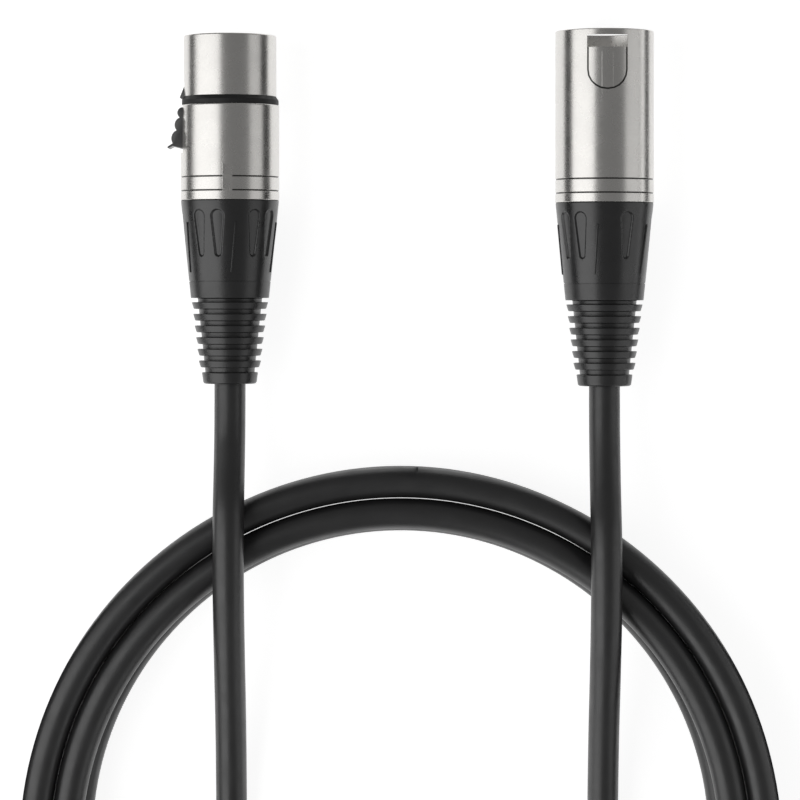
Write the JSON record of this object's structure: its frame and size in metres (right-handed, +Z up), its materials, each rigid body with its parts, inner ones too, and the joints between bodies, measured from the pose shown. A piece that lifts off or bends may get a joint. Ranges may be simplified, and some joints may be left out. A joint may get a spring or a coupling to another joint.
{
  "type": "xlr cable coil",
  "caption": "Coiled black microphone cable with a female and a male circular audio plug, sprung latch, screwed bushings and ribbed boots.",
  "frame": {"origin": "on the surface the cable lies on, under the middle of the box that the two plugs fill", "axes": "+Y the way both plugs point, +X from the female plug to the male plug, +Z up from the surface"},
  "size_m": [0.147, 0.2343, 0.0193],
  "materials": {
    "nickel_shell": "satin nickel plating over zinc",
    "latch_metal": "dark grey satin",
    "ring_rubber": "black, matt",
    "insert_plastic": "black glass-filled nylon",
    "contact_silver": "silver plated",
    "strap_steel": "tinned spring bronze",
    "spring_steel": "spring steel",
    "chuck_plastic": "off-white acetal",
    "bushing_plastic": "black, satin",
    "boot_rubber": "black elastomer, satin",
    "cable_jacket": "black flexible PVC, satin",
    "wire_red": "red insulation",
    "wire_white": "white insulation",
    "wire_bare": "black sleeve over the screen wire"
  },
  "bodies": {
    "shells_and_cable": {"female_shell": "nickel_shell", "female_front_ring": "ring_rubber", "female_insert": "insert_plastic", "female_contact_1": "contact_silver", "female_contact_2": "contact_silver", "female_contact_3": "contact_silver", "female_ground_strap": "strap_steel", "female_wire_1": "wire_bare", "female_wire_2": "wire_red", "female_wire_3": "wire_white", "female_jacket_end": "cable_jacket", "female_chuck": "chuck_plastic", "latch_pivot_pin": "spring_steel", "latch_spring": "spring_steel", "male_shell": "nickel_shell", "male_insert": "insert_plastic", "male_contact_1": "contact_silver", "male_contact_2": "contact_silver", "male_contact_3": "contact_silver", "male_ground_strap": "strap_steel", "male_wire_1": "wire_bare", "male_wire_2": "wire_red", "male_wire_3": "wire_white", "male_jacket_end": "cable_jacket", "male_chuck": "chuck_plastic", "cable_lead_female": "cable_jacket", "cable_coil": "cable_jacket", "cable_lead_male": "cable_jacket"},
    "latch": {"latch_lever": "latch_metal"},
    "female_boot": {"female_boot": "boot_rubber"},
    "female_bushing": {"female_bushing": "bushing_plastic"},
    "male_boot": {"male_boot": "boot_rubber"},
    "male_bushing": {"male_bushing": "bushing_plastic"}
  },
  "joints": [
    {"name": "latch_hinge", "type": "hinge", "parent": "shells_and_cable", "child": "latch", "pos_m": [-0.04155, 0.0297, 0.0095], "axis": [0, 0, 1], "range_deg": [0, 5], "stiffness_Nm_per_rad": 0.5, "springref_deg": -11.46, "deforming": ["latch_spring"]},
    {"name": "female_boot_slide", "type": "slide", "parent": "shells_and_cable", "child": "female_boot", "axis": [0, -1, 0], "range_m": [0, 0.004]},
    {"name": "female_bushing_turn", "type": "hinge", "parent": "female_boot", "child": "female_bushing", "pos_m": [-0.0349, 0, 0.0095], "axis": [0, -1, 0], "range_deg": [0, 720]},
    {"name": "male_boot_slide", "type": "slide", "parent": "shells_and_cable", "child": "male_boot", "axis": [0, -1, 0], "range_m": [0, 0.004]},
    {"name": "male_bushing_turn", "type": "hinge", "parent": "male_boot", "child": "male_bushing", "pos_m": [0.0373, 0, 0.0095], "axis": [0, -1, 0], "range_deg": [0, 720]}
  ],
  "couplings": [
    {"joint": "female_bushing_turn", "follows": "female_boot_slide", "rad_per_m": 3141.6},
    {"joint": "male_bushing_turn", "follows": "male_boot_slide", "rad_per_m": 3141.6}
  ]
}
